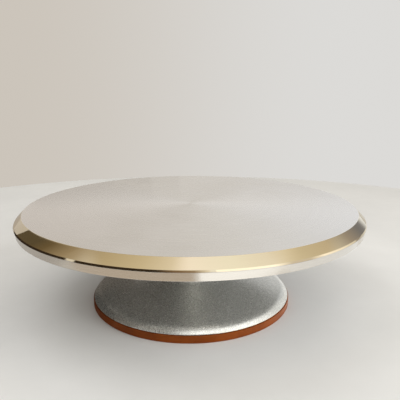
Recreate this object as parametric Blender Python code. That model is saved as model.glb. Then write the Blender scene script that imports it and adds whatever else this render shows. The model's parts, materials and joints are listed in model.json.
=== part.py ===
"""Cake turntable: an aluminium platter on a cast pedestal, with its spindle, ball bearings and fasteners.

Run it with: blender --background --python part.py
Lengths are written in millimetres and become metres when a mesh is made. +Z is up. The origin is on the
spin axis, on the surface that the turntable stands on.
"""

import math

import bmesh
import bpy
from mathutils import Matrix

MM = 0.001
GAP = 0.3  # between neighbouring pieces
EDGE = 0.5  # chamfer that breaks an ordinary edge
PAST = 1.0  # how far a cutter runs past the surface that it opens

# Platter
HEIGHT = 90.0
PLATTER_R = 152.5
BEVEL = 6.5
PLATE_THICKNESS = 4.0
LAND_HEIGHT = 1.5
BAND_TOP_R = 152.0
BAND_BOTTOM_R = 151.1
BAND_ROUNDING = 0.8
RIM_INNER_R = 147.0
RIM_BOTTOM_Z = 76.0
PLATE_FILLET = 3.0
BOSS_R = 36.0
BOSS_Z = 84.5

# Pedestal
FOOT_R = 90.0
FOOT_Z = 6.7
SHOULDER_HEIGHT = 0.7
RIM_STEEPNESS = math.radians(60)
CONE_SLOPE = math.radians(11)
RIM_ROUNDING = 11.0
WALL = 4.0
NECK_TOP_R = 25.5
NECK_BASE_R = 27.0
NECK_TOP_Z = 77.5
NECK_ROUNDING = 0.8
NECK_FILLET = 11.0
COLUMN_R = 22.5
COLUMN_FILLET = 5.0
COLUMN_BOTTOM_Z = 10.0
TONGUE_OUTER_R = 87.0
TONGUE_INNER_R = 84.0
TONGUE_Z = 3.3
TONGUE_FILLET = 1.5

# Non-slip ring
RING_R = 90.8
RING_INNER_R = 81.5
RING_HEIGHT = 6.4
RING_INNER_HEIGHT = 5.6

# Ball bearings: 15 x 35 x 11 mm
BEARING_BORE_R = 7.5
BEARING_OUTER_R = 17.5
BEARING_WIDTH = 11.0
BALL_CIRCLE_R = 12.5
BALL_COUNT = 8
BALL_R = 2.75
RACE_R = 3.1
RACE_STEPS = 4
POCKET_R = BALL_R + GAP
LAND_OFFSET = 2.1
CAGE_INNER_R = 11.4
CAGE_OUTER_R = 13.6
CAGE_HEIGHT = 7.4
SHIELD_THICKNESS = 0.4
SHIELD_Z = 4.85
SHIELD_INNER_R = 10.7
SHIELD_OUTER_R = 14.9
SHIELD_SEAT_R = 15.2
LOWER_BEARING_Z = 32.0
UPPER_BEARING_Z = 68.1

# Spindle and the pieces on it
SHAFT_R = 7.2
COLLAR_R = 10.0
THREAD_R = 6.0
SPINDLE_BOTTOM_Z = 14.5
FLANGE_R = 30.0
FLANGE_THICKNESS = 4.5
SPIGOT_R = 9.0
SPIGOT_HEIGHT = 1.8
WASHER_R = 11.0
WASHER_THICKNESS = 1.5
NUT_ACROSS_FLATS = 19.0
NUT_HEIGHT = 8.0
NUT_COLLAR_HEIGHT = 2.0
NUT_COLLAR_STEP = 0.8
NUT_CHAMFER = 0.4

# Screws from the spindle's flange into the platter
SCREW_COUNT = 4
SCREW_CIRCLE_R = 22.0
SCREW_R = 2.4
SCREW_HEAD_R = 4.6
SCREW_HEAD_SINK = 0.2
SCREW_TOP_Z = 88.2
SOCKET_ACROSS_FLATS = 3.0
SOCKET_DEPTH = 1.8

# Retaining rings in the casting
CLIP_GROOVE_R = 18.9
CLIP_GROOVE_WIDTH = 2.0
CLIP_THICKNESS = 1.4
CLIP_OUTER_R = 18.6
CLIP_INNER_R = 15.6
CLIP_LUG_R = 13.4
CLIP_GAP = math.radians(34)
CLIP_LUG = math.radians(17)
CLIP_HOLE_R = 0.8

# Dust cap
CAP_R = 20.5
CAP_THICKNESS = 1.7
CAP_LIP_THICKNESS = 1.5
CAP_LIP_HEIGHT = 4.0

# Heights that follow from the ones above
SEAT_R = BEARING_OUTER_R + GAP
BORE_R = 15.3
PLATE_Z = HEIGHT - PLATE_THICKNESS
FLANGE_TOP_Z = BOSS_Z - GAP
FLANGE_Z = FLANGE_TOP_Z - FLANGE_THICKNESS
HALF_BEARING = BEARING_WIDTH / 2
LOWER_BEARING_BOTTOM = LOWER_BEARING_Z - HALF_BEARING
LOWER_BEARING_TOP = LOWER_BEARING_Z + HALF_BEARING
UPPER_BEARING_BOTTOM = UPPER_BEARING_Z - HALF_BEARING
UPPER_BEARING_TOP = UPPER_BEARING_Z + HALF_BEARING

PLATTER_SEGMENTS = 64
BASE_SEGMENTS = 48
SMALL_SEGMENTS = 24
TINY_SEGMENTS = 12
ARC_STEP = 2.5
SHARP_ANGLE = math.radians(30)


def clear_scene():
    for obj in list(bpy.data.objects):
        bpy.data.objects.remove(obj, do_unlink=True)


def make_material(name, colour, roughness, metallic):
    material = bpy.data.materials.new(name)
    material.use_nodes = True
    shader = material.node_tree.nodes["Principled BSDF"]
    shader.inputs["Base Color"].default_value = (*colour, 1.0)
    shader.inputs["Roughness"].default_value = roughness
    shader.inputs["Metallic"].default_value = metallic
    material.diffuse_color = (*colour, 1.0)
    return material


def make_object(name, bm, material, parent=None, height=0.0):
    """An object in metres from a bmesh in millimetres, its origin on the spin axis at the given height."""
    bmesh.ops.scale(bm, vec=(MM, MM, MM), verts=bm.verts)
    bmesh.ops.recalc_face_normals(bm, faces=bm.faces)
    mesh = bpy.data.meshes.new(name)
    bm.to_mesh(mesh)
    bm.free()
    mesh.shade_smooth()
    mesh.set_sharp_from_angle(angle=SHARP_ANGLE)
    mesh.materials.append(material)
    obj = bpy.data.objects.new(name, mesh)
    bpy.context.scene.collection.objects.link(obj)
    obj.parent = parent
    obj.location.z = height * MM
    return obj


def make_axis(name, height=0.0):
    """An empty on the spin axis that carries the pieces of one moving body."""
    axis = bpy.data.objects.new(name, None)
    axis.location.z = height * MM
    bpy.context.scene.collection.objects.link(axis)
    return axis


def cut(obj, bm, name):
    """Takes the shape of a bmesh away from an object, with a Boolean modifier and a hidden cutter."""
    cutter = make_object(name, bm, obj.data.materials[0], obj.parent, obj.location.z / MM)
    cutter.hide_render = True
    cutter.display_type = "WIRE"
    modifier = obj.modifiers.new(name, "BOOLEAN")
    modifier.operation = "DIFFERENCE"
    modifier.solver = "EXACT"
    modifier.object = cutter


def rounded(corners):
    """The outline through these (radius, height) corners. A corner with a third value is rounded by that much."""
    points = []
    for index, corner in enumerate(corners):
        if len(corner) == 2:
            points.append(corner)
            continue
        r, z, rounding = corner
        before = corners[index - 1]
        after = corners[(index + 1) % len(corners)]
        angle_in = math.atan2(before[1] - z, before[0] - r)
        angle_out = math.atan2(after[1] - z, after[0] - r)
        opening = (angle_out - angle_in + math.pi) % math.tau - math.pi
        half = opening / 2
        reach = rounding / abs(math.sin(half))
        middle = angle_in + half
        centre_r = r + reach * math.cos(middle)
        centre_z = z + reach * math.sin(middle)
        sweep = math.copysign(math.pi - abs(opening), -opening)
        start = angle_in + math.copysign(math.pi / 2, -opening)
        steps = max(2, round(rounding * abs(sweep) / ARC_STEP))
        for step in range(steps + 1):
            angle = start + sweep * step / steps
            points.append((centre_r + rounding * math.cos(angle), centre_z + rounding * math.sin(angle)))
    return points


def turned(outline, segments):
    """A bmesh of a closed (radius, height) outline turned about Z. An outline may start and end on the axis."""
    bm = bmesh.new()
    verts = [bm.verts.new((r, 0.0, z)) for r, z in outline]
    edges = [bm.edges.new((verts[i], verts[i + 1])) for i in range(len(verts) - 1)]
    if outline[0][0] > 0 or outline[-1][0] > 0:
        edges.append(bm.edges.new((verts[-1], verts[0])))
    bmesh.ops.spin(
        bm,
        geom=verts + edges,
        cent=(0, 0, 0),
        axis=(0, 0, 1),
        angle=math.tau,
        steps=segments,
        use_merge=True,
    )
    bmesh.ops.remove_doubles(bm, verts=bm.verts, dist=0.001)
    return bm


def prism(sides, across_flats, low, high):
    """A bmesh of a regular prism that stands on Z from low to high."""
    bm = bmesh.new()
    radius = across_flats / 2 / math.cos(math.pi / sides)
    place = Matrix.Translation((0, 0, (low + high) / 2))
    bmesh.ops.create_cone(
        bm,
        cap_ends=True,
        segments=sides,
        radius1=radius,
        radius2=radius,
        depth=high - low,
        matrix=place,
    )
    return bm


def around(build_one, count, radius):
    """A bmesh of several copies of a small bmesh, spaced evenly on a circle about Z."""
    bm = bmesh.new()
    for index in range(count):
        angle = math.tau * index / count
        piece = build_one()
        bmesh.ops.translate(piece, vec=(radius, 0, 0), verts=piece.verts)
        bmesh.ops.rotate(piece, cent=(0, 0, 0), matrix=Matrix.Rotation(angle, 3, "Z"), verts=piece.verts)
        bmesh.ops.recalc_face_normals(piece, faces=piece.faces)
        copy = bpy.data.meshes.new("copy")
        piece.to_mesh(copy)
        piece.free()
        bm.from_mesh(copy)
        bpy.data.meshes.remove(copy)
    return bm


def platter_outline():
    land_top = HEIGHT - BEVEL
    land_bottom = land_top - LAND_HEIGHT
    return rounded(
        [
            (0.0, HEIGHT),
            (PLATTER_R - BEVEL, HEIGHT),
            (PLATTER_R, land_top),
            (PLATTER_R, land_bottom),
            (BAND_TOP_R, land_bottom - EDGE),
            (BAND_BOTTOM_R, RIM_BOTTOM_Z, BAND_ROUNDING),
            (RIM_INNER_R, RIM_BOTTOM_Z, EDGE),
            (RIM_INNER_R, PLATE_Z, PLATE_FILLET),
            (BOSS_R, PLATE_Z),
            (BOSS_R - EDGE, BOSS_Z),
            (SPIGOT_R + GAP, BOSS_Z),
            (SPIGOT_R + GAP, FLANGE_TOP_Z + SPIGOT_HEIGHT + GAP),
            (0.0, FLANGE_TOP_Z + SPIGOT_HEIGHT + GAP),
        ]
    )


def make_platter(material, axis):
    platter = make_object("platter", turned(platter_outline(), PLATTER_SEGMENTS), material, axis)

    def tapped_hole():
        radius = SCREW_R + GAP
        below = BOSS_Z - PAST
        above = SCREW_TOP_Z + GAP
        return turned([(0, below), (radius, below), (radius, above), (0, above)], TINY_SEGMENTS)

    cut(platter, around(tapped_hole, SCREW_COUNT, SCREW_CIRCLE_R), "tapped_holes")


def cone_height(r):
    """Height of the pedestal's outer cone, carried on in a straight line, at radius r."""
    rim_corner_r, rim_corner_z = rim_corner()
    return rim_corner_z + (rim_corner_r - r) * math.tan(CONE_SLOPE)


def rim_corner():
    """Where the steep start of the pedestal's rounded rim would meet its cone."""
    sweep = RIM_STEEPNESS - CONE_SLOPE
    tangent = RIM_ROUNDING * math.tan(sweep / 2)
    r = FOOT_R - tangent * math.cos(RIM_STEEPNESS)
    z = FOOT_Z + SHOULDER_HEIGHT + tangent * math.sin(RIM_STEEPNESS)
    return r, z


def pedestal_outside():
    rim_r, rim_z = rim_corner()
    return [
        (NECK_TOP_R, NECK_TOP_Z, NECK_ROUNDING),
        (NECK_BASE_R, cone_height(NECK_BASE_R), NECK_FILLET),
        (rim_r, rim_z, RIM_ROUNDING),
        (FOOT_R, FOOT_Z + SHOULDER_HEIGHT),
        (FOOT_R, FOOT_Z),
    ]


def pedestal_underside():
    drop = WALL / math.cos(CONE_SLOPE)
    return [
        (TONGUE_OUTER_R, FOOT_Z),
        (TONGUE_OUTER_R, TONGUE_Z),
        (TONGUE_INNER_R, TONGUE_Z),
        (TONGUE_INNER_R, cone_height(TONGUE_INNER_R) - drop, TONGUE_FILLET),
        (COLUMN_R, cone_height(COLUMN_R) - drop, COLUMN_FILLET),
        (COLUMN_R, COLUMN_BOTTOM_Z, NECK_ROUNDING),
    ]


def clip_groove(low):
    return [
        (SEAT_R, low),
        (CLIP_GROOVE_R, low),
        (CLIP_GROOVE_R, low + CLIP_GROOVE_WIDTH),
        (SEAT_R, low + CLIP_GROOVE_WIDTH),
    ]


def pedestal_bore():
    """The stepped hole for the bearings, from the bottom of the column to the top of the neck."""
    return [
        (SEAT_R, COLUMN_BOTTOM_Z),
        *clip_groove(LOWER_BEARING_BOTTOM - CLIP_GROOVE_WIDTH),
        (SEAT_R, LOWER_BEARING_TOP + GAP),
        (BORE_R, LOWER_BEARING_TOP + GAP),
        (BORE_R, UPPER_BEARING_BOTTOM - GAP),
        (SEAT_R, UPPER_BEARING_BOTTOM - GAP),
        *clip_groove(UPPER_BEARING_TOP),
        (SEAT_R, NECK_TOP_Z),
    ]


def make_pedestal(material):
    outline = rounded(pedestal_outside() + pedestal_underside() + pedestal_bore())
    make_object("pedestal", turned(outline, BASE_SEGMENTS), material)


def make_non_slip_ring(material):
    groove_z = TONGUE_Z - GAP
    outline = [
        (RING_R - EDGE, 0.0),
        (RING_R, EDGE),
        (RING_R, RING_HEIGHT - EDGE),
        (RING_R - EDGE, RING_HEIGHT),
        (TONGUE_OUTER_R + GAP, RING_HEIGHT),
        (TONGUE_OUTER_R + GAP, groove_z),
        (TONGUE_INNER_R - GAP, groove_z),
        (TONGUE_INNER_R - GAP, RING_INNER_HEIGHT),
        (RING_INNER_R, RING_INNER_HEIGHT),
        (RING_INNER_R, 0.0),
    ]
    make_object("non_slip_ring", turned(outline, BASE_SEGMENTS), material)


def race(side):
    """The ball groove of a bearing ring: side is +1 for the outer ring and -1 for the inner one."""
    reach = math.acos(LAND_OFFSET / RACE_R)
    points = []
    for step in range(RACE_STEPS + 1):
        angle = reach - 2 * reach * step / RACE_STEPS
        points.append((BALL_CIRCLE_R + side * RACE_R * math.cos(angle), RACE_R * math.sin(angle)))
    return points


def outer_ring_outline():
    land_r = BALL_CIRCLE_R + LAND_OFFSET
    step_z = SHIELD_Z - SHIELD_THICKNESS / 2 - GAP
    return [
        (BEARING_OUTER_R, -HALF_BEARING + EDGE),
        (BEARING_OUTER_R, HALF_BEARING - EDGE),
        (BEARING_OUTER_R - EDGE, HALF_BEARING),
        (SHIELD_SEAT_R, HALF_BEARING),
        (SHIELD_SEAT_R, step_z),
        (land_r, step_z),
        *race(1),
        (land_r, -step_z),
        (SHIELD_SEAT_R, -step_z),
        (SHIELD_SEAT_R, -HALF_BEARING),
        (BEARING_OUTER_R - EDGE, -HALF_BEARING),
    ]


def inner_ring_outline():
    land_r = BALL_CIRCLE_R - LAND_OFFSET
    return [
        (BEARING_BORE_R, -HALF_BEARING + EDGE),
        (BEARING_BORE_R, HALF_BEARING - EDGE),
        (BEARING_BORE_R + EDGE, HALF_BEARING),
        (land_r, HALF_BEARING),
        *race(-1),
        (land_r, -HALF_BEARING),
        (BEARING_BORE_R + EDGE, -HALF_BEARING),
    ]


def washer_outline(inner_r, outer_r, low, high):
    return [(outer_r, low), (outer_r, high), (inner_r, high), (inner_r, low)]


def make_cage(name, material, axis):
    half = CAGE_HEIGHT / 2
    outline = washer_outline(CAGE_INNER_R, CAGE_OUTER_R, -half, half)
    cage = make_object(name, turned(outline, SMALL_SEGMENTS), material, axis)

    def pocket():
        reach = (CAGE_OUTER_R - CAGE_INNER_R) / 2 + PAST
        bm = turned([(0, -reach), (POCKET_R, -reach), (POCKET_R, reach), (0, reach)], TINY_SEGMENTS)
        bmesh.ops.rotate(bm, cent=(0, 0, 0), matrix=Matrix.Rotation(math.pi / 2, 3, "Y"), verts=bm.verts)
        return bm

    cut(cage, around(pocket, BALL_COUNT, BALL_CIRCLE_R), name + "_pockets")


def make_balls(prefix, material, axis):
    for index in range(BALL_COUNT):
        bm = bmesh.new()
        bmesh.ops.create_icosphere(bm, subdivisions=2, radius=BALL_R)
        ball = make_object(f"{prefix}_ball_{index + 1}", bm, material, axis)
        angle = math.tau * index / BALL_COUNT
        ball.location.x = BALL_CIRCLE_R * math.cos(angle) * MM
        ball.location.y = BALL_CIRCLE_R * math.sin(angle) * MM


def make_bearing(prefix, height, materials, platter_axis):
    """A shielded ball bearing. Its outer ring and shields stay still, and its inner ring turns with the platter."""
    steel = materials["bearing_steel"]
    cage_axis = make_axis(f"{prefix}_cage_axis", height)
    outer = turned(outer_ring_outline(), SMALL_SEGMENTS)
    make_object(f"{prefix}_bearing_outer_ring", outer, steel, None, height)
    inner = turned(inner_ring_outline(), SMALL_SEGMENTS)
    make_object(f"{prefix}_bearing_inner_ring", inner, steel, platter_axis, height)
    make_cage(f"{prefix}_bearing_cage", materials["cage_steel"], cage_axis)
    make_balls(prefix, materials["ball_steel"], cage_axis)
    for side, label in ((1, "top"), (-1, "bottom")):
        low = side * SHIELD_Z - SHIELD_THICKNESS / 2
        outline = washer_outline(SHIELD_INNER_R, SHIELD_OUTER_R, low, low + SHIELD_THICKNESS)
        shield = turned(outline, SMALL_SEGMENTS)
        make_object(f"{prefix}_bearing_{label}_shield", shield, materials["cage_steel"], None, height)


def make_spindle(material, axis):
    outline = [
        (0.0, FLANGE_TOP_Z + SPIGOT_HEIGHT),
        (SPIGOT_R - EDGE, FLANGE_TOP_Z + SPIGOT_HEIGHT),
        (SPIGOT_R, FLANGE_TOP_Z + SPIGOT_HEIGHT - EDGE),
        (SPIGOT_R, FLANGE_TOP_Z),
        (FLANGE_R - EDGE, FLANGE_TOP_Z),
        (FLANGE_R, FLANGE_TOP_Z - EDGE),
        (FLANGE_R, FLANGE_Z + EDGE),
        (FLANGE_R - EDGE, FLANGE_Z),
        (COLLAR_R, FLANGE_Z),
        (COLLAR_R, UPPER_BEARING_TOP + GAP),
        (SHAFT_R, UPPER_BEARING_TOP + GAP),
        (SHAFT_R, LOWER_BEARING_BOTTOM),
        (THREAD_R, LOWER_BEARING_BOTTOM),
        (THREAD_R, SPINDLE_BOTTOM_Z + 2 * EDGE),
        (THREAD_R - 2 * EDGE, SPINDLE_BOTTOM_Z),
        (0.0, SPINDLE_BOTTOM_Z),
    ]
    spindle = make_object("spindle", turned(outline, SMALL_SEGMENTS), material, axis)

    def countersunk_hole():
        hole_r = SCREW_R + GAP
        mouth_r = SCREW_HEAD_R + GAP
        cone_z = FLANGE_Z + SCREW_HEAD_SINK
        outline = [
            (0, FLANGE_Z - PAST),
            (mouth_r, FLANGE_Z - PAST),
            (mouth_r, cone_z),
            (hole_r, cone_z + mouth_r - hole_r),
            (hole_r, FLANGE_TOP_Z + PAST),
            (0, FLANGE_TOP_Z + PAST),
        ]
        return turned(outline, TINY_SEGMENTS)

    cut(spindle, around(countersunk_hole, SCREW_COUNT, SCREW_CIRCLE_R), "flange_holes")


def make_hub_screws(material, axis):
    """Countersunk socket screws, heads down in the flange, threads up in the platter's boss."""
    head_z = FLANGE_Z + SCREW_HEAD_SINK
    outline = [
        (0, head_z),
        (SCREW_HEAD_R, head_z),
        (SCREW_R, head_z + SCREW_HEAD_R - SCREW_R),
        (SCREW_R, SCREW_TOP_Z - EDGE),
        (SCREW_R - EDGE, SCREW_TOP_Z),
        (0, SCREW_TOP_Z),
    ]
    for index in range(SCREW_COUNT):
        angle = math.tau * index / SCREW_COUNT
        name = f"hub_screw_{index + 1}"
        screw = make_object(name, turned(outline, TINY_SEGMENTS), material, axis)
        cut(screw, prism(6, SOCKET_ACROSS_FLATS, head_z - PAST, head_z + SOCKET_DEPTH), name + "_socket")
        for obj in (screw, screw.modifiers[0].object):
            obj.location.x = SCREW_CIRCLE_R * math.cos(angle) * MM
            obj.location.y = SCREW_CIRCLE_R * math.sin(angle) * MM


def make_lock_nut(material, axis):
    """A hexagon nut with chamfered corners and a round collar at its lower end, on the spindle's thread."""
    top = LOWER_BEARING_BOTTOM - WASHER_THICKNESS - 2 * GAP
    bottom = top - NUT_HEIGHT
    flat_r = NUT_ACROSS_FLATS / 2
    clear_r = 2 * flat_r
    collar_r = flat_r - NUT_COLLAR_STEP
    chamfer_r = flat_r - NUT_CHAMFER
    nut = make_object("lock_nut", prism(6, NUT_ACROSS_FLATS, bottom, top), material, axis)
    bore = prism(SMALL_SEGMENTS, 2 * (THREAD_R + GAP), bottom - PAST, top + PAST)
    cut(nut, bore, "lock_nut_bore")
    chamfer = [
        (clear_r, top + PAST),
        (chamfer_r, top + PAST),
        (chamfer_r, top),
        (clear_r, top - (clear_r - chamfer_r) / 2),
    ]
    cut(nut, turned(chamfer, SMALL_SEGMENTS), "lock_nut_top_chamfer")
    collar = [
        (clear_r, bottom + NUT_COLLAR_HEIGHT),
        (collar_r, bottom + NUT_COLLAR_HEIGHT),
        (collar_r, bottom - PAST),
        (clear_r, bottom - PAST),
    ]
    cut(nut, turned(collar, SMALL_SEGMENTS), "lock_nut_collar")


def clip_face(bm, low):
    """The C-shaped outline of a retaining ring, with a lug at each end, as one face."""
    steps = SMALL_SEGMENTS
    start = CLIP_GAP / 2
    end = math.tau - start
    lug_end = start + CLIP_LUG
    lug_start = end - CLIP_LUG
    polar = [(CLIP_OUTER_R, start + (end - start) * step / steps) for step in range(steps + 1)]
    polar += [(CLIP_LUG_R, end), (CLIP_LUG_R, lug_start)]
    polar += [(CLIP_INNER_R, lug_start + (lug_end - lug_start) * step / steps) for step in range(steps + 1)]
    polar += [(CLIP_LUG_R, lug_end), (CLIP_LUG_R, start)]
    verts = [bm.verts.new((r * math.cos(angle), r * math.sin(angle), low)) for r, angle in polar]
    return bm.faces.new(verts)


def make_retaining_ring(name, groove_low, material):
    low = groove_low + (CLIP_GROOVE_WIDTH - CLIP_THICKNESS) / 2
    bm = bmesh.new()
    face = clip_face(bm, low)
    extruded = bmesh.ops.extrude_face_region(bm, geom=[face], use_keep_orig=True)
    top = [item for item in extruded["geom"] if isinstance(item, bmesh.types.BMVert)]
    bmesh.ops.translate(bm, vec=(0, 0, CLIP_THICKNESS), verts=top)
    clip = make_object(name, bm, material)
    lug_angle = CLIP_GAP / 2 + CLIP_LUG / 2
    lug_r = (CLIP_LUG_R + CLIP_OUTER_R) / 2
    for index, angle in enumerate((lug_angle, -lug_angle)):
        hole = prism(TINY_SEGMENTS, 2 * CLIP_HOLE_R, low - PAST, low + CLIP_THICKNESS + PAST)
        place = (lug_r * math.cos(angle), lug_r * math.sin(angle), 0)
        bmesh.ops.translate(hole, vec=place, verts=hole.verts)
        cut(clip, hole, f"{name}_hole_{index + 1}")


def make_dust_seal(material):
    low = UPPER_BEARING_TOP + CLIP_GROOVE_WIDTH + GAP
    outline = washer_outline(COLLAR_R + GAP, SEAT_R - GAP, low, NECK_TOP_Z - GAP)
    make_object("dust_seal", turned(outline, SMALL_SEGMENTS), material)


def make_bearing_spacer(material, axis):
    low = LOWER_BEARING_TOP + GAP
    high = UPPER_BEARING_BOTTOM - GAP
    outline = washer_outline(BEARING_BORE_R, COLLAR_R, low, high)
    make_object("bearing_spacer", turned(outline, SMALL_SEGMENTS), material, axis)


def make_spindle_washer(material, axis):
    high = LOWER_BEARING_BOTTOM - GAP
    outline = washer_outline(THREAD_R + GAP, WASHER_R, high - WASHER_THICKNESS, high)
    make_object("spindle_washer", turned(outline, SMALL_SEGMENTS), material, axis)


def make_dust_cap(material):
    """A round plug with a lip that goes up into the column's bore."""
    lip_outer = SEAT_R - GAP
    lip_inner = lip_outer - CAP_LIP_THICKNESS
    disc_top = COLUMN_BOTTOM_Z - GAP
    disc_bottom = disc_top - CAP_THICKNESS
    outline = [
        (0.0, disc_bottom),
        (CAP_R - EDGE, disc_bottom),
        (CAP_R, disc_bottom + EDGE),
        (CAP_R, disc_top),
        (lip_outer, disc_top),
        (lip_outer, disc_top + CAP_LIP_HEIGHT),
        (lip_inner, disc_top + CAP_LIP_HEIGHT),
        (lip_inner, disc_top),
        (0.0, disc_top),
    ]
    make_object("dust_cap", turned(outline, SMALL_SEGMENTS), material)


def make_materials():
    return {
        "brushed_aluminium": make_material("brushed_aluminium", (0.78, 0.76, 0.73), 0.3, 1.0),
        "silver_coat": make_material("silver_coat", (0.42, 0.42, 0.40), 0.45, 0.9),
        "silicone": make_material("silicone", (0.42, 0.10, 0.02), 0.55, 0.0),
        "spindle_steel": make_material("spindle_steel", (0.60, 0.60, 0.60), 0.25, 1.0),
        "bearing_steel": make_material("bearing_steel", (0.66, 0.66, 0.67), 0.18, 1.0),
        "ball_steel": make_material("ball_steel", (0.72, 0.72, 0.73), 0.08, 1.0),
        "cage_steel": make_material("cage_steel", (0.58, 0.57, 0.54), 0.35, 1.0),
        "zinc_steel": make_material("zinc_steel", (0.62, 0.63, 0.66), 0.3, 1.0),
        "spring_steel": make_material("spring_steel", (0.10, 0.10, 0.11), 0.4, 0.8),
        "black_screw": make_material("black_screw", (0.05, 0.05, 0.05), 0.4, 0.8),
        "felt": make_material("felt", (0.20, 0.19, 0.17), 0.95, 0.0),
        "cap_plastic": make_material("cap_plastic", (0.03, 0.03, 0.03), 0.5, 0.0),
    }


def main():
    clear_scene()
    materials = make_materials()
    platter_axis = make_axis("platter_axis")

    make_platter(materials["brushed_aluminium"], platter_axis)
    make_spindle(materials["spindle_steel"], platter_axis)
    make_hub_screws(materials["black_screw"], platter_axis)
    make_bearing_spacer(materials["spindle_steel"], platter_axis)
    make_spindle_washer(materials["zinc_steel"], platter_axis)
    make_lock_nut(materials["zinc_steel"], platter_axis)

    make_bearing("upper", UPPER_BEARING_Z, materials, platter_axis)
    make_bearing("lower", LOWER_BEARING_Z, materials, platter_axis)

    make_pedestal(materials["silver_coat"])
    make_non_slip_ring(materials["silicone"])
    make_retaining_ring("upper_retaining_ring", UPPER_BEARING_TOP, materials["spring_steel"])
    lower_groove = LOWER_BEARING_BOTTOM - CLIP_GROOVE_WIDTH
    make_retaining_ring("lower_retaining_ring", lower_groove, materials["spring_steel"])
    make_dust_seal(materials["felt"])
    make_dust_cap(materials["cap_plastic"])


main()
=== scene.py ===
"""Looks of the cake turntable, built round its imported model.

Outlines are (radius, height) corners in millimetres, and a mesh is in metres. The spin axis is Z.
"""

import json
import math

import bmesh
import bpy
from mathutils import Matrix, Vector

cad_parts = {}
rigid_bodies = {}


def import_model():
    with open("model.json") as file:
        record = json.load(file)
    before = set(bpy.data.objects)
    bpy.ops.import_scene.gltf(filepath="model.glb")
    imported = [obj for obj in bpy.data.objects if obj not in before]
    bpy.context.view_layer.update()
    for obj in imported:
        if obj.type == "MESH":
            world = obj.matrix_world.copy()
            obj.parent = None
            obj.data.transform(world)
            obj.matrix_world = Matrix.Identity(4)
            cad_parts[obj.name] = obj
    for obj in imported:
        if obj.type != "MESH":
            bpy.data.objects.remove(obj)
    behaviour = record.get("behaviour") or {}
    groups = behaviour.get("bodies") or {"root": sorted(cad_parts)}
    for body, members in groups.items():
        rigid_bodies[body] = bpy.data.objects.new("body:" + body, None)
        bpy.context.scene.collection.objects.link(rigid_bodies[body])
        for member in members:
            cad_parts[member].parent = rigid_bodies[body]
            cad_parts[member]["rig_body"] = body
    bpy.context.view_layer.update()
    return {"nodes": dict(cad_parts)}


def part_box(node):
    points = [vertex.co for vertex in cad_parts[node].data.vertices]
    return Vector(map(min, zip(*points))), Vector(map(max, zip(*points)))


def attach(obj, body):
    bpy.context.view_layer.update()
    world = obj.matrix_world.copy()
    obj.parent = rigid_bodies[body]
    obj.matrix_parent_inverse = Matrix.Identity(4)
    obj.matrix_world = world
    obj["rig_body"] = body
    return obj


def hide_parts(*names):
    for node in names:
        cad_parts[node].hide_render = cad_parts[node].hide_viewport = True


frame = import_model()

MM = 0.001
# Clearance between pieces, common chamfer, and how far a cutter reaches past what it cuts
GAP = 0.3
EDGE = 0.5
PAST = 1.0


def high(node, axis):
    """The highest value of a CAD node along X (0) or Z (2), in millimetres."""
    return round(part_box(node)[1][axis] / MM, 3)


def low(node, axis):
    """The lowest value of a CAD node along an axis, in millimetres."""
    return round(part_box(node)[0][axis] / MM, 3)


def heights(node):
    """The lowest and the highest Z of a CAD node, in millimetres."""
    return low(node, 2), high(node, 2)


# Platter
HEIGHT = high("platter", 2)
PLATTER_R = high("platter", 0)
RIM_BOTTOM_Z = low("platter", 2)
BEVEL = 6.5
BEVEL_ROUNDING = 0.35
BEVEL_TOP_R = PLATTER_R - 6.7
TOP_FACE_SLOPE = 0.97
UNDERSIDE_SLOPE = -0.7
LAND_OVERLAP = 0.1
PLATE_THICKNESS = 4.0
LAND_HEIGHT = 1.5
LAND_TOP_TILT = math.radians(25)
LAND_BOTTOM_TILT = math.radians(21)
LAND_CURVE = 22.6
LAND_STEPS = 6
BAND_TOP_R = PLATTER_R - 0.5
BAND_BOTTOM_R = PLATTER_R - 1.4
BAND_ROUNDING = 0.3
BAND_STEP = 0.15
RIM_INNER_R = PLATTER_R - 5.5
PLATE_FILLET = 3.0
BOSS_R = 36.0
BOSS_Z = HEIGHT - 5.5
BOSS_FILLET = 0.4
BOSS_ROUNDING = 0.2

# Pedestal
FOOT_R = high("pedestal", 0)
NECK_TOP_Z = high("pedestal", 2)
TONGUE_Z = low("pedestal", 2)
FOOT_Z = TONGUE_Z + 3.4
FOOT_EDGE_ROUNDING = 0.15
SHOULDER_HEIGHT = 0.7
RIM_STEEPNESS = math.radians(60)
CONE_SLOPE = math.radians(11)
RIM_ROUNDING = 11.0
WALL = 4.0
NECK_TOP_R = 25.5
NECK_BASE_R = 27.0
NECK_ROUNDING = 0.8
NECK_FILLET = 11.0
COLUMN_R = 22.5
COLUMN_FILLET = 5.0
COLUMN_BOTTOM_Z = high("dust_cap", 2) - 3.7
TONGUE_OUTER_R = FOOT_R - 3.0
TONGUE_INNER_R = FOOT_R - 6.0
TONGUE_FILLET = 1.5

# Non-slip ring
RING_R = high("non_slip_ring", 0)
RING_HEIGHT = high("non_slip_ring", 2)
RING_INNER_R = RING_R - 9.3
RING_INNER_HEIGHT = RING_HEIGHT - 0.8
RING_ROUNDING = 0.6
RING_INNER_ROUNDING = 0.3

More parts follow.
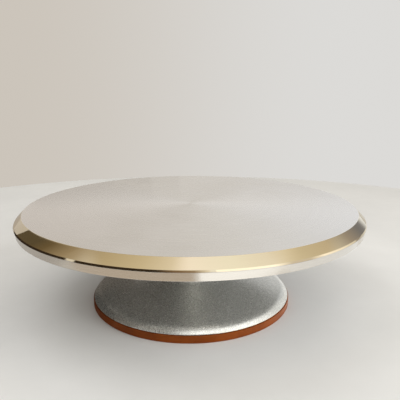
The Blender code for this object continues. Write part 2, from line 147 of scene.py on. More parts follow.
# Ball bearings
BEARING_BORE_R = 7.5
BEARING_OUTER_R = high("upper_bearing_outer_ring", 0)
BEARING_WIDTH = high("upper_bearing_outer_ring", 2) - low("upper_bearing_outer_ring", 2)
HALF_BEARING = BEARING_WIDTH / 2
LOWER_BEARING_Z = low("lower_bearing_outer_ring", 2) + HALF_BEARING
UPPER_BEARING_Z = low("upper_bearing_outer_ring", 2) + HALF_BEARING
BALL_CIRCLE_R = 12.5
BALL_COUNT = 8
BALL_R = 2.75
BALL_STEPS = 32
RACE_R = 3.1
RACE_STEPS = 12
POCKET_R = BALL_R + GAP
LAND_OFFSET = 2.1
CAGE_INNER_R = 11.4
CAGE_OUTER_R = 13.6
CAGE_HEIGHT = 7.4
SHIELD_THICKNESS = 0.4
SHIELD_RISE = 0.2
SHIELD_RAISED = ((12.0, 12.3), (14.0, 14.3))
SHIELD_Z = 4.85
SHIELD_INNER_R = 10.7
SHIELD_OUTER_R = 14.9
SHIELD_SEAT_R = 15.2
BORE_R = 15.3
SEAT_R = BEARING_OUTER_R + GAP

# Spindle and the pieces on it
SHAFT_R = 7.2
COLLAR_R = 10.0
THREAD_R = 6.0
SPINDLE_BOTTOM_Z = low("spindle", 2)
FLANGE_R = high("spindle", 0)
FLANGE_TOP_Z = BOSS_Z - GAP
FLANGE_Z = FLANGE_TOP_Z - 4.5
SPIGOT_R = 9.0
SPIGOT_HEIGHT = 1.8
THREAD_PITCH = 1.0
THREAD_DEPTH = 0.5
THREAD_ROWS = 6
THREAD_TOP_Z = LOWER_BEARING_Z - HALF_BEARING - 0.2
CENTRE_HOLE_R = 1.2
CENTRE_HOLE_DEPTH = 1.0
WASHER_R = high("spindle_washer", 0)
NUT_ACROSS_FLATS = 19.0
NUT_COLLAR_HEIGHT = 2.0
NUT_COLLAR_STEP = 0.8
NUT_CHAMFER = 0.4
NUT_CHAMFER_SLOPE = 0.5

# Hub screws
SCREW_COUNT = 4
SCREW_CIRCLE_R = 22.0
SCREW_R = 2.4
SCREW_HEAD_R = 4.6
SCREW_HEAD_CHAMFER = 0.15
SCREW_HEAD_Z = low("hub_screw_1", 2)
SCREW_TOP_Z = high("hub_screw_1", 2)
SCREW_PITCH = 0.8
SCREW_DEPTH = 0.35
SOCKET_ACROSS_FLATS = 3.0
SOCKET_DEPTH = 1.8
TAPPED_TOP_Z = SCREW_TOP_Z + GAP

# Retaining rings, seal and cap
CLIP_THICKNESS = 1.4
CLIP_OUTER_R = 18.6
CLIP_INNER_R = 15.6
CLIP_LUG_R = 13.4
CLIP_GAP = math.radians(34)
CLIP_LUG = math.radians(17)
CLIP_HOLE_R = 0.8
CLIP_LUG_CHAMFER = 0.4
CLIP_LUG_CHAMFER_ANGLE = 0.03
CLIP_STEPS = 96
CLIP_GROOVE_R = 18.9
CLIP_GROOVE_WIDTH = 2.0
CAP_R = high("dust_cap", 0)
CAP_LIP_THICKNESS = 1.5
CAP_RECESS = 0.4
CAP_RECESS_R = 14.0
CAP_RECESS_MOUTH_R = 14.6
CAP_ROUNDING = 0.3

PLATTER_SEGMENTS = 256
BASE_SEGMENTS = 192
SMALL_SEGMENTS = 64
TINY_SEGMENTS = 32
MERGE_DISTANCE = 0.0005
ARC_ANGLE = math.radians(7)
SHARP_ANGLE = math.radians(15)


# Meshes


def rounded(corners):
    """The outline through these (radius, height) corners.

    A corner with a third value is rounded by that much.
    """
    points = []
    for index, corner in enumerate(corners):
        if len(corner) == 2:
            points.append(corner)
            continue
        r, z, rounding = corner
        before = corners[index - 1]
        after = corners[(index + 1) % len(corners)]
        angle_in = math.atan2(before[1] - z, before[0] - r)
        angle_out = math.atan2(after[1] - z, after[0] - r)
        opening = (angle_out - angle_in + math.pi) % math.tau - math.pi
        half = opening / 2
        reach = rounding / abs(math.sin(half))
        middle = angle_in + half
        centre_r = r + reach * math.cos(middle)
        centre_z = z + reach * math.sin(middle)
        sweep = math.copysign(math.pi - abs(opening), -opening)
        start = angle_in + math.copysign(math.pi / 2, -opening)
        steps = max(2, math.ceil(abs(sweep) / ARC_ANGLE))
        for step in range(steps + 1):
            angle = start + sweep * step / steps
            r, z = centre_r + rounding * math.cos(angle), centre_z + rounding * math.sin(angle)
            points.append((r, z))
    return points


def turned(outline, segments):
    """A bmesh of a closed (radius, height) outline turned about Z.

    An outline may start and end on the axis.
    """
    bm = bmesh.new()
    verts = [bm.verts.new((r, 0.0, z)) for r, z in outline]
    edges = [bm.edges.new((verts[i], verts[i + 1])) for i in range(len(verts) - 1)]
    if outline[0][0] > 0 or outline[-1][0] > 0:
        edges.append(bm.edges.new((verts[-1], verts[0])))
    circle = {"cent": (0, 0, 0), "axis": (0, 0, 1), "angle": math.tau, "steps": segments}
    bmesh.ops.spin(bm, geom=verts + edges, use_merge=True, **circle)
    bmesh.ops.remove_doubles(bm, verts=bm.verts, dist=MERGE_DISTANCE)
    return bm


def prism(sides, across_flats, bottom, top):
    """A bmesh of a regular prism about Z, between two heights."""
    bm = bmesh.new()
    radius = across_flats / 2 / math.cos(math.pi / sides)
    place = Matrix.Translation((0, 0, (bottom + top) / 2))
    size = {"radius1": radius, "radius2": radius, "depth": top - bottom}
    bmesh.ops.create_cone(bm, cap_ends=True, segments=sides, matrix=place, **size)
    return bm


def moved(bm, x=0.0, y=0.0, z=0.0):
    bmesh.ops.translate(bm, vec=(x, y, z), verts=bm.verts)
    return bm


def moved_out(bm, radius, angle):
    return moved(bm, radius * math.cos(angle), radius * math.sin(angle))


def around(build_one, count, radius):
    """A bmesh of several copies of a small bmesh, spaced evenly on a circle about Z."""
    bm = bmesh.new()
    for index in range(count):
        turn = Matrix.Rotation(math.tau * index / count, 3, "Z")
        piece = moved(build_one(), radius)
        bmesh.ops.rotate(piece, cent=(0, 0, 0), matrix=turn, verts=piece.verts)
        bmesh.ops.recalc_face_normals(piece, faces=piece.faces)
        copy = bpy.data.meshes.new("copy")
        piece.to_mesh(copy)
        piece.free()
        bm.from_mesh(copy)
        bpy.data.meshes.remove(copy)
    return bm


def mesh_object(name, bm):
    """An object in metres from a bmesh in millimetres, which it uses up."""
    bmesh.ops.scale(bm, vec=(MM, MM, MM), verts=bm.verts)
    bmesh.ops.recalc_face_normals(bm, faces=bm.faces)
    mesh = bpy.data.meshes.new(name)
    bm.to_mesh(mesh)
    bm.free()
    obj = bpy.data.objects.new(name, mesh)
    bpy.context.scene.collection.objects.link(obj)
    return obj


def cut(obj, bm):
    """Takes a bmesh away from an object for good."""
    cutter = mesh_object(obj.name + "_cutter", bm)
    modifier = obj.modifiers.new("cut", "BOOLEAN")
    modifier.operation = "DIFFERENCE"
    modifier.solver = "EXACT"
    modifier.object = cutter
    bpy.context.view_layer.update()
    graph = bpy.context.evaluated_depsgraph_get()
    result = bpy.data.meshes.new_from_object(obj.evaluated_get(graph))
    obj.modifiers.clear()
    old = obj.data
    obj.data = result
    bpy.data.meshes.remove(old)
    result.name = obj.name
    bpy.data.objects.remove(cutter)


def finished(obj, node, materials, choose=None):
    """Smooths a piece, gives it its materials and puts it in the place of a CAD node."""
    mesh = obj.data
    mesh.materials.clear()
    for material in materials:
        mesh.materials.append(material)
    if choose:
        for face in mesh.polygons:
            centre = face.center / MM
            face.material_index = choose(math.hypot(centre.x, centre.y), centre.z, face.normal)
    mesh.shade_smooth()
    mesh.set_sharp_from_angle(angle=SHARP_ANGLE)
    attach(obj, frame["nodes"][node]["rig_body"])
    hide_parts(node)


# Material nodes


def add(tree, kind, inputs=None, **settings):
    """Adds a node. Each input is a number, a colour, or a socket to link from."""
    node = tree.nodes.new(kind)
    for key, value in settings.items():
        setattr(node, key, value)
    for key, value in (inputs or {}).items():
        socket = node.inputs[key]
        if isinstance(value, bpy.types.NodeSocket):
            tree.links.new(value, socket)
        elif socket.type == "RGBA" and len(value) == 3:
            socket.default_value = (*value, 1.0)
        else:
            socket.default_value = value
    return node


def calculate(tree, operation, *values):
    """A Math node's result."""
    return add(tree, "ShaderNodeMath", dict(enumerate(values)), operation=operation).outputs[0]


def ranged(tree, value, from_low, from_high, to_low=0.0, to_high=1.0, smooth=False):
    """A value carried over from one range to another, and held at its ends."""
    inputs = dict(enumerate((value, from_low, from_high, to_low, to_high)))
    kind = "SMOOTHSTEP" if smooth else "LINEAR"
    return add(tree, "ShaderNodeMapRange", inputs, interpolation_type=kind).outputs[0]


def length_of(tree, x, y):
    flat = add(tree, "ShaderNodeCombineXYZ", {0: x, 1: y}).outputs[0]
    return add(tree, "ShaderNodeVectorMath", {0: flat}, operation="LENGTH").outputs["Value"]


def coordinates(tree, kind="Object"):
    """A place or a direction, with its X, Y and Z."""
    place = add(tree, "ShaderNodeTexCoord").outputs[kind]
    return place, *add(tree, "ShaderNodeSeparateXYZ", {0: place}).outputs


def mixed(tree, factor, first, second):
    """A colour between two colours."""
    inputs = {0: factor, 6: first, 7: second}
    return add(tree, "ShaderNodeMix", inputs, data_type="RGBA").outputs[2]


def noise(tree, vector, scale, detail=2.0, roughness=0.5, distortion=0.0):
    inputs = dict(Vector=vector, Scale=scale, Detail=detail, Roughness=roughness, Distortion=distortion)
    return add(tree, "ShaderNodeTexNoise", inputs).outputs["Fac"]


def line_noise(tree, value, scale, detail=2.0):
    """Noise along one number, for turned lines."""
    inputs = {"W": value, "Scale": scale, "Detail": detail}
    return add(tree, "ShaderNodeTexNoise", inputs, noise_dimensions="1D").outputs["Fac"]


class Surface:
    """A material with the coordinates of a turned piece, in metres and radians."""

    def __init__(self, name, metallic, **uniform):
        self.material = bpy.data.materials.new(name)
        self.material.use_nodes = True
        self.tree = self.material.node_tree
        self.shader = self.tree.nodes["Principled BSDF"]
        self.shader.inputs["Metallic"].default_value = metallic
        for key, value in uniform.items():
            self.shader.inputs[key.replace("_", " ")].default_value = value
        self.point, x, y, self.z = coordinates(self.tree)
        self.radius = length_of(self.tree, x, y)
        self.angle = calculate(self.tree, "ARCTAN2", y, x)

    def colour(self, value):
        self.tree.links.new(value, self.shader.inputs["Base Color"])

    def roughness(self, value):
        self.tree.links.new(value, self.shader.inputs["Roughness"])

    def bump(self, height, distance):
        """Raises the surface by up to this distance, in metres."""
        inputs = {"Height": height, "Distance": distance, "Strength": 1.0}
        node = add(self.tree, "ShaderNodeBump", inputs)
        self.tree.links.new(node.outputs["Normal"], self.shader.inputs["Normal"])

    def near_edge(self, radius, height, width):
        """1 on a turned edge at this radius and height in millimetres, falling to 0 at the width."""
        away_r = calculate(self.tree, "SUBTRACT", self.radius, radius * MM)
        away_z = calculate(self.tree, "SUBTRACT", self.z, height * MM)
        away = length_of(self.tree, away_r, away_z)
        return ranged(self.tree, away, 0.0, width * MM, 1.0, 0.0, smooth=True)


def turned_metal(name, dark, light, rough, aniso, lines, wear_edges=(), bump=0.0000004):
    """Metal finished on a lathe: fine lines along the turning, soft uneven patches and worn edges."""
    surface = Surface(name, 1.0, Anisotropic=aniso, Anisotropic_Rotation=0.25)
    tree = surface.tree
    across = calculate(tree, "MULTIPLY_ADD", surface.z, 1.7, surface.radius)
    fine = line_noise(tree, across, lines, 2.0)
    broad = line_noise(tree, across, lines / 7, 3.0)
    arc_radius = calculate(tree, "MULTIPLY", across, lines / 8)
    arc_place = add(tree, "ShaderNodeCombineXYZ", {0: arc_radius, 1: surface.angle})
    arcs = noise(tree, arc_place.outputs[0], 0.8, 2.0)
    patches = noise(tree, surface.point, 26.0, 3.0, 0.6)
    lined = calculate(tree, "MULTIPLY_ADD", fine, 0.35, calculate(tree, "MULTIPLY", broad, 0.65))
    shade = calculate(tree, "MULTIPLY_ADD", arcs, 0.4, calculate(tree, "MULTIPLY", lined, 0.6))
    colour = mixed(tree, shade, dark, light)
    wear = None
    for radius, height, width in wear_edges:
        edge = surface.near_edge(radius, height, width)
        wear = edge if wear is None else calculate(tree, "MAXIMUM", wear, edge)
    patchy = ranged(tree, patches, 0.3, 0.7, rough * 0.88, rough * 1.12)
    streaky = ranged(tree, lined, 0.3, 0.7, -rough * 0.12, rough * 0.12)
    roughness = calculate(tree, "ADD", patchy, streaky)
    if wear is not None:
        nicks = noise(tree, surface.point, 900.0, 3.0, 0.7)
        worn = calculate(tree, "MULTIPLY", wear, ranged(tree, nicks, 0.45, 0.6, 0.25, 1.0))
        colour = mixed(tree, worn, colour, tuple(min(1.0, c * 1.06) for c in light))
        roughness = calculate(tree, "MULTIPLY_ADD", worn, rough * 0.25, roughness)
    surface.colour(colour)
    surface.roughness(roughness)
    surface.bump(lined, bump)
    return surface.material


def flakes(surface, scale):
    """Three values between 0 and 1 that change from flake to flake."""
    cells = add(surface.tree, "ShaderNodeTexVoronoi", {"Vector": surface.point, "Scale": scale})
    return add(surface.tree, "ShaderNodeSeparateColor", {0: cells.outputs["Color"]}).outputs


def powder_coat(name):
    """Silver powder coat: metal flakes of about half a millimetre under a fine orange-peel skin."""
    surface = Surface(name, 0.8, Coat_Weight=0.15, Coat_Roughness=0.3)
    tree = surface.tree
    large = flakes(surface, 1700.0)
    small = flakes(surface, 3300.0)
    patches = noise(tree, surface.point, 35.0, 3.0, 0.55)
    peel = noise(tree, surface.point, 420.0, 2.0, 0.5)
    base = mixed(tree, patches, (0.56, 0.565, 0.535), (0.62, 0.62, 0.585))
    bright = ranged(tree, large[0], 0.55, 1.0)
    fleck = mixed(tree, bright, base, (0.86, 0.86, 0.82))
    dark = ranged(tree, small[1], 0.0, 0.6, 1.0, 0.0)
    colour = mixed(tree, calculate(tree, "MULTIPLY", dark, 0.35), fleck, (0.26, 0.26, 0.25))
    surface.colour(colour)
    surface.roughness(ranged(tree, large[1], 0.0, 1.0, 0.25, 0.37))
    waves = calculate(tree, "MULTIPLY", peel, 1.4)
    surface.bump(calculate(tree, "MULTIPLY_ADD", large[2], 0.6, waves), 0.00003)
    return surface.material


def rubber(name, dark, light, rough):
    """Moulded silicone or plastic: a soft mottle under a fine grain."""
    surface = Surface(name, 0.0, Specular_IOR_Level=0.18)
    tree = surface.tree
    mottle = noise(tree, surface.point, 60.0, 4.0, 0.6)
    grain = noise(tree, surface.point, 1400.0, 2.0, 0.6)
    surface.colour(mixed(tree, ranged(tree, mottle, 0.35, 0.65), dark, light))
    surface.roughness(ranged(tree, grain, 0.3, 0.7, rough * 0.85, rough * 1.15))
    surface.bump(grain, 0.00002)
    return surface.material


def fine_metal(name, dark, light, rough, metallic=1.0, grain=2400.0, bump=0.000003):
    """Plated, blackened, stamped or ground metal: soft patches under a fine grain."""
    surface = Surface(name, metallic)
    tree = surface.tree
    patches = noise(tree, surface.point, 180.0, 4.0, 0.6)
    specks = noise(tree, surface.point, grain, 2.0, 0.6)
    shade = calculate(tree, "MULTIPLY_ADD", patches, 0.6, calculate(tree, "MULTIPLY", specks, 0.4))
    surface.colour(mixed(tree, ranged(tree, shade, 0.35, 0.65), dark, light))
    surface.roughness(ranged(tree, shade, 0.3, 0.7, rough * 0.75, rough * 1.25))
    surface.bump(specks, bump)
    return surface.material


def felt_fibre(name, dark, light):
    """Pressed felt: tangled fibres in clumps."""
    surface = Surface(name, 0.0, Sheen_Weight=0.4, Sheen_Roughness=0.6)
    tree = surface.tree
    fibres = noise(tree, surface.point, 1500.0, 4.0, 0.7, 2.5)
    clumps = noise(tree, surface.point, 320.0, 3.0, 0.6)
    shade = calculate(tree, "MULTIPLY_ADD", fibres, 0.6, calculate(tree, "MULTIPLY", clumps, 0.4))
    surface.colour(mixed(tree, ranged(tree, shade, 0.35, 0.65), dark, light))
    surface.roughness(ranged(tree, shade, 0.3, 0.7, 0.86, 0.98))
    surface.bump(shade, 0.00012)
    return surface.material


# Pieces


def land():
    """The convex polished strip from the foot of the bevel down to the widest radius."""
    points = []
    bottom_r = LAND_CURVE * math.cos(LAND_BOTTOM_TILT)
    top_z = HEIGHT - BEVEL + LAND_OVERLAP
    for step in range(LAND_STEPS + 1):
        tilt = LAND_TOP_TILT + (LAND_BOTTOM_TILT - LAND_TOP_TILT) * step / LAND_STEPS
        r = PLATTER_R - bottom_r + LAND_CURVE * math.cos(tilt)
        z = top_z - LAND_CURVE * (math.sin(LAND_TOP_TILT) - math.sin(tilt))
        points.append((r, z))
    return points


def platter_outline():
    land_bottom = HEIGHT - BEVEL - LAND_HEIGHT
    corners = [
        (0.0, HEIGHT),
        (BEVEL_TOP_R, HEIGHT, BEVEL_ROUNDING),
        *land(),
        (BAND_TOP_R, land_bottom - BAND_STEP, 0.1),
        (BAND_BOTTOM_R, RIM_BOTTOM_Z, BAND_ROUNDING),
        (RIM_INNER_R, RIM_BOTTOM_Z, EDGE),
        (RIM_INNER_R, HEIGHT - PLATE_THICKNESS, PLATE_FILLET),
        (BOSS_R, HEIGHT - PLATE_THICKNESS, BOSS_FILLET),
        (BOSS_R - EDGE, BOSS_Z, BOSS_ROUNDING),
        (SPIGOT_R + GAP, BOSS_Z),
        (SPIGOT_R + GAP, FLANGE_TOP_Z + SPIGOT_HEIGHT + GAP),
        (0.0, FLANGE_TOP_Z + SPIGOT_HEIGHT + GAP),
    ]
    return rounded(corners)


def choose_platter(r, z, normal):
    """Slot of a platter face: 0 top, 1 bevel and land, 2 band, 3 underside."""
    bevel_bottom = HEIGHT - BEVEL
    if normal.z > TOP_FACE_SLOPE and z > HEIGHT - 0.1:
        return 0
    if r > PLATTER_R - BEVEL - 1 and z > bevel_bottom - LAND_HEIGHT + 0.3:
        return 1
    if r > BAND_BOTTOM_R - 2 and z < bevel_bottom and normal.z > UNDERSIDE_SLOPE:
        return 2
    return 3


def cone_height(r):
    rim_corner_r, rim_corner_z = rim_corner()
    return rim_corner_z + (rim_corner_r - r) * math.tan(CONE_SLOPE)


def rim_corner():
    sweep = RIM_STEEPNESS - CONE_SLOPE
    tangent = RIM_ROUNDING * math.tan(sweep / 2)
    r = FOOT_R - tangent * math.cos(RIM_STEEPNESS)
    z = FOOT_Z + SHOULDER_HEIGHT + tangent * math.sin(RIM_STEEPNESS)
    return r, z


def clip_groove(bottom):
    top = bottom + CLIP_GROOVE_WIDTH
    return [(SEAT_R, bottom), (CLIP_GROOVE_R, bottom), (CLIP_GROOVE_R, top), (SEAT_R, top)]


def pedestal_outline():
    rim_r, rim_z = rim_corner()
    drop = WALL / math.cos(CONE_SLOPE)
    lower_top = LOWER_BEARING_Z + HALF_BEARING
    lower_bottom = LOWER_BEARING_Z - HALF_BEARING
    upper_top = UPPER_BEARING_Z + HALF_BEARING
    upper_bottom = UPPER_BEARING_Z - HALF_BEARING
    corners = [
        (NECK_TOP_R, NECK_TOP_Z, NECK_ROUNDING),
        (NECK_BASE_R, cone_height(NECK_BASE_R), NECK_FILLET),
        (rim_r, rim_z, RIM_ROUNDING),
        (FOOT_R, FOOT_Z + SHOULDER_HEIGHT),
        (FOOT_R, FOOT_Z, FOOT_EDGE_ROUNDING),
        (TONGUE_OUTER_R, FOOT_Z),
        (TONGUE_OUTER_R, TONGUE_Z),
        (TONGUE_INNER_R, TONGUE_Z),
        (TONGUE_INNER_R, cone_height(TONGUE_INNER_R) - drop, TONGUE_FILLET),
        (COLUMN_R, cone_height(COLUMN_R) - drop, COLUMN_FILLET),
        (COLUMN_R, COLUMN_BOTTOM_Z, NECK_ROUNDING),
        (SEAT_R, COLUMN_BOTTOM_Z),
        *clip_groove(lower_bottom - CLIP_GROOVE_WIDTH),
        (SEAT_R, lower_top + GAP),
        (BORE_R, lower_top + GAP),
        (BORE_R, upper_bottom - GAP),
        (SEAT_R, upper_bottom - GAP),
        *clip_groove(upper_top),
        (SEAT_R, NECK_TOP_Z),
    ]
    return rounded(corners)


def ring_outline():
    groove_z = TONGUE_Z - GAP
    corners = [
        (RING_R, 0.0, RING_ROUNDING),
        (RING_R, RING_HEIGHT, RING_ROUNDING),
        (TONGUE_OUTER_R + GAP, RING_HEIGHT),
        (TONGUE_OUTER_R + GAP, groove_z),
        (TONGUE_INNER_R - GAP, groove_z),
        (TONGUE_INNER_R - GAP, RING_INNER_HEIGHT),
        (RING_INNER_R, RING_INNER_HEIGHT, RING_INNER_ROUNDING),
        (RING_INNER_R, 0.0, RING_INNER_ROUNDING),
    ]
    return rounded(corners)


def tapped_hole():
    hole_r = SCREW_R + GAP
    bottom = BOSS_Z - PAST
    outline = [(0, bottom), (hole_r, bottom), (hole_r, TAPPED_TOP_Z), (0, TAPPED_TOP_Z)]
    return turned(outline, TINY_SEGMENTS)


def build_main_pieces(brushed, polished, band, underside, coat, silicone):
    platter = mesh_object("platter_turned", turned(platter_outline(), PLATTER_SEGMENTS))
    cut(platter, around(tapped_hole, SCREW_COUNT, SCREW_CIRCLE_R))
    finished(platter, "platter", [brushed, polished, band, underside], choose_platter)
    pedestal = mesh_object("pedestal_casting", turned(pedestal_outline(), BASE_SEGMENTS))
    finished(pedestal, "pedestal", [coat])
    ring = mesh_object("non_slip_ring_moulded", turned(ring_outline(), BASE_SEGMENTS))
    finished(ring, "non_slip_ring", [silicone])


def rows(radius, start, end, pitch):
    """Points up or down a shaft, close enough together for a thread of this pitch."""
    count = math.ceil(abs(end - start) / pitch * THREAD_ROWS)
    return [(radius, start + (end - start) * step / count) for step in range(count + 1)]


def threaded(bm, radius, bottom, top, pitch, depth):
    """Sinks a helical groove into a shaft between two heights, fading in and out over one turn."""
    for vert in bm.verts:
        r = math.hypot(vert.co.x, vert.co.y)
        if abs(r - radius) > 0.01 or not bottom <= vert.co.z <= top:
            continue
        angle = math.atan2(vert.co.y, vert.co.x)
        phase = (vert.co.z / pitch - angle / math.tau) % 1.0
        fade = min(1.0, (vert.co.z - bottom) / pitch, (top - vert.co.z) / pitch)
        scale = 1 - depth / radius * fade * (1 - abs(2 * phase - 1))
        vert.co.x *= scale
        vert.co.y *= scale


def build_piece(node, label, bm, material, cutters=()):
    piece = mesh_object(f"{node}_{label}", bm)
    for cutter in cutters:
        cut(piece, cutter)
    finished(piece, node, [material])


def washer(inner_r, outer_r, bottom, top, rounding):
    corners = [(outer_r, bottom), (outer_r, top), (inner_r, top), (inner_r, bottom)]
    return turned(rounded([(r, z, rounding) for r, z in corners]), SMALL_SEGMENTS)


def spindle_outline():
    bearing_bottom = LOWER_BEARING_Z - HALF_BEARING
    seat_z = UPPER_BEARING_Z + HALF_BEARING + GAP
    thread_end = SPINDLE_BOTTOM_Z + 2 * EDGE
    corners = [
        (0.0, FLANGE_TOP_Z + SPIGOT_HEIGHT),
        (SPIGOT_R, FLANGE_TOP_Z + SPIGOT_HEIGHT, 0.4),
        (SPIGOT_R, FLANGE_TOP_Z),
        (FLANGE_R, FLANGE_TOP_Z, 0.4),
        (FLANGE_R, FLANGE_Z, 0.4),
        (COLLAR_R, FLANGE_Z, 0.5),
        (COLLAR_R, seat_z, 0.2),
        (SHAFT_R, seat_z),
        (SHAFT_R, bearing_bottom, 0.2),
        (THREAD_R, bearing_bottom),
        *rows(THREAD_R, THREAD_TOP_Z, thread_end, THREAD_PITCH),
        (THREAD_R - 2 * EDGE, SPINDLE_BOTTOM_Z),
        (CENTRE_HOLE_R, SPINDLE_BOTTOM_Z),
        (0.0, SPINDLE_BOTTOM_Z + CENTRE_HOLE_DEPTH),
    ]
    return rounded(corners)


def countersunk_hole():
    hole_r = SCREW_R + GAP
    mouth_r = SCREW_HEAD_R + GAP
    countersink_top = SCREW_HEAD_Z + mouth_r - hole_r
    outline = [
        (0, FLANGE_Z - PAST),
        (mouth_r, FLANGE_Z - PAST),
        (mouth_r, SCREW_HEAD_Z),
        (hole_r, countersink_top),
        (hole_r, FLANGE_TOP_Z + PAST),
        (0, FLANGE_TOP_Z + PAST),
    ]
    return turned(outline, TINY_SEGMENTS)


def screw_bmesh(index):
    neck_z = SCREW_HEAD_Z + SCREW_HEAD_R - SCREW_R
    outline = [
        (0, SCREW_HEAD_Z),
        (SCREW_HEAD_R - SCREW_HEAD_CHAMFER, SCREW_HEAD_Z),
        (SCREW_HEAD_R, SCREW_HEAD_Z + SCREW_HEAD_CHAMFER),
        *rows(SCREW_R, neck_z, SCREW_TOP_Z - EDGE, SCREW_PITCH),
        (SCREW_R - EDGE, SCREW_TOP_Z),
        (0, SCREW_TOP_Z),
    ]
    bm = turned(outline, TINY_SEGMENTS)
    threaded(bm, SCREW_R, neck_z + 0.1, SCREW_TOP_Z - EDGE, SCREW_PITCH, SCREW_DEPTH)
    return on_screw_circle(bm, index)


def on_screw_circle(bm, index):
    return moved_out(bm, SCREW_CIRCLE_R, math.tau * index / SCREW_COUNT)


def nut_cutters(bottom, top):
    """The bore, the chamfer on the corners and the round collar of the lock nut."""
    flat_r = NUT_ACROSS_FLATS / 2
    clear_r = 2 * flat_r
    chamfer_r = flat_r - NUT_CHAMFER
    collar_r = flat_r - NUT_COLLAR_STEP
    bore_r = THREAD_R + GAP
    mouth_r = bore_r + EDGE
    bore = [
        (0, bottom - PAST),
        (mouth_r, bottom - PAST),
        (mouth_r, bottom),
        (bore_r, bottom + EDGE),
        (bore_r, top - EDGE),
        (mouth_r, top),
        (mouth_r, top + PAST),
        (0, top + PAST),
    ]
    chamfer = [
        (clear_r, top + PAST),
        (chamfer_r, top + PAST),
        (chamfer_r, top),
        (clear_r, top - (clear_r - chamfer_r) * NUT_CHAMFER_SLOPE),
    ]
    collar = [
        (clear_r, bottom + NUT_COLLAR_HEIGHT),
        (collar_r, bottom + NUT_COLLAR_HEIGHT),
        (collar_r, bottom + EDGE),
        (collar_r - EDGE, bottom),
        (collar_r - EDGE, bottom - PAST),
        (clear_r, bottom - PAST),
    ]
    return [turned(outline, SMALL_SEGMENTS) for outline in (bore, chamfer, collar)]


def build_spindle_pieces(steel, oxide, zinc):
    shaft = turned(spindle_outline(), SMALL_SEGMENTS)
    threaded(shaft, THREAD_R, SPINDLE_BOTTOM_Z + 2 * EDGE, THREAD_TOP_Z, THREAD_PITCH, THREAD_DEPTH)
    holes = around(countersunk_hole, SCREW_COUNT, SCREW_CIRCLE_R)
    build_piece("spindle", "ground", shaft, steel, [holes])
    for index in range(SCREW_COUNT):
        socket = prism(6, SOCKET_ACROSS_FLATS, SCREW_HEAD_Z - PAST, SCREW_HEAD_Z + SOCKET_DEPTH)
        cutters = [on_screw_circle(socket, index)]
        build_piece(f"hub_screw_{index + 1}", "countersunk", screw_bmesh(index), oxide, cutters)
    spacer = washer(BEARING_BORE_R, COLLAR_R, *heights("bearing_spacer"), 0.3)
    build_piece("bearing_spacer", "sleeve", spacer, steel)
    plain_washer = washer(THREAD_R + GAP, WASHER_R, *heights("spindle_washer"), 0.25)
    build_piece("spindle_washer", "plated", plain_washer, zinc)
    bottom, top = heights("lock_nut")
    nut = prism(6, NUT_ACROSS_FLATS, bottom, top)
    build_piece("lock_nut", "plated", nut, zinc, nut_cutters(bottom, top))


def race(side):
    """The ball groove of a bearing ring: side is +1 for the outer ring and -1 for the inner one."""
    reach = math.acos(LAND_OFFSET / RACE_R)
    points = []
    for step in range(RACE_STEPS + 1):
        angle = reach - 2 * reach * step / RACE_STEPS
        points.append((BALL_CIRCLE_R + side * RACE_R * math.cos(angle), RACE_R * math.sin(angle)))
    return points


def outer_ring_outline():
    land_r = BALL_CIRCLE_R + LAND_OFFSET
    step_z = SHIELD_Z - SHIELD_THICKNESS / 2 - GAP
    corners = [
        (BEARING_OUTER_R, HALF_BEARING, EDGE),
        (SHIELD_SEAT_R, HALF_BEARING, 0.15),
        (SHIELD_SEAT_R, step_z),
        (land_r, step_z),
        *race(1),
        (land_r, -step_z),
        (SHIELD_SEAT_R, -step_z),
        (SHIELD_SEAT_R, -HALF_BEARING, 0.15),
        (BEARING_OUTER_R, -HALF_BEARING, EDGE),
    ]
    return rounded(corners)


def inner_ring_outline():
    land_r = BALL_CIRCLE_R - LAND_OFFSET
    corners = [
        (BEARING_BORE_R, HALF_BEARING, EDGE),
        (land_r, HALF_BEARING, 0.2),
        *race(-1),
        (land_r, -HALF_BEARING, 0.2),
        (BEARING_BORE_R, -HALF_BEARING, EDGE),
    ]
    return rounded(corners)


def shield_outline(side):
    """A pressed shield with a raised ring on its outer face."""
    near = SHIELD_Z - SHIELD_THICKNESS / 2
    (foot, crest), (crest_end, foot_end) = SHIELD_RAISED
    line = [(SHIELD_INNER_R, 0.0), (foot, 0.0), (crest, SHIELD_RISE)]
    line += [(crest_end, SHIELD_RISE), (foot_end, 0.0), (SHIELD_OUTER_R, 0.0)]
    faces = [(r, near + z) for r, z in line]
    faces += [(r, near + z + SHIELD_THICKNESS) for r, z in reversed(line)]
    return [(r, side * z) for r, z in faces]


def pocket():
    reach = (CAGE_OUTER_R - CAGE_INNER_R) / 2 + PAST
    bm = turned([(0, -reach), (POCKET_R, -reach), (POCKET_R, reach), (0, reach)], TINY_SEGMENTS)
    bmesh.ops.rotate(bm, cent=(0, 0, 0), matrix=Matrix.Rotation(math.pi / 2, 3, "Y"), verts=bm.verts)
    return bm


def ball_bmesh(node):
    angles = [math.pi * step / BALL_STEPS for step in range(BALL_STEPS + 1)]
    outline = [(BALL_R * math.sin(angle), BALL_R * math.cos(angle)) for angle in angles]
    outline[0] = (0.0, BALL_R)
    outline[-1] = (0.0, -BALL_R)
    bm = turned(outline, SMALL_SEGMENTS)
    lowest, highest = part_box(node)
    return moved(bm, *(Vector(lowest) + Vector(highest)) / 2 / MM)


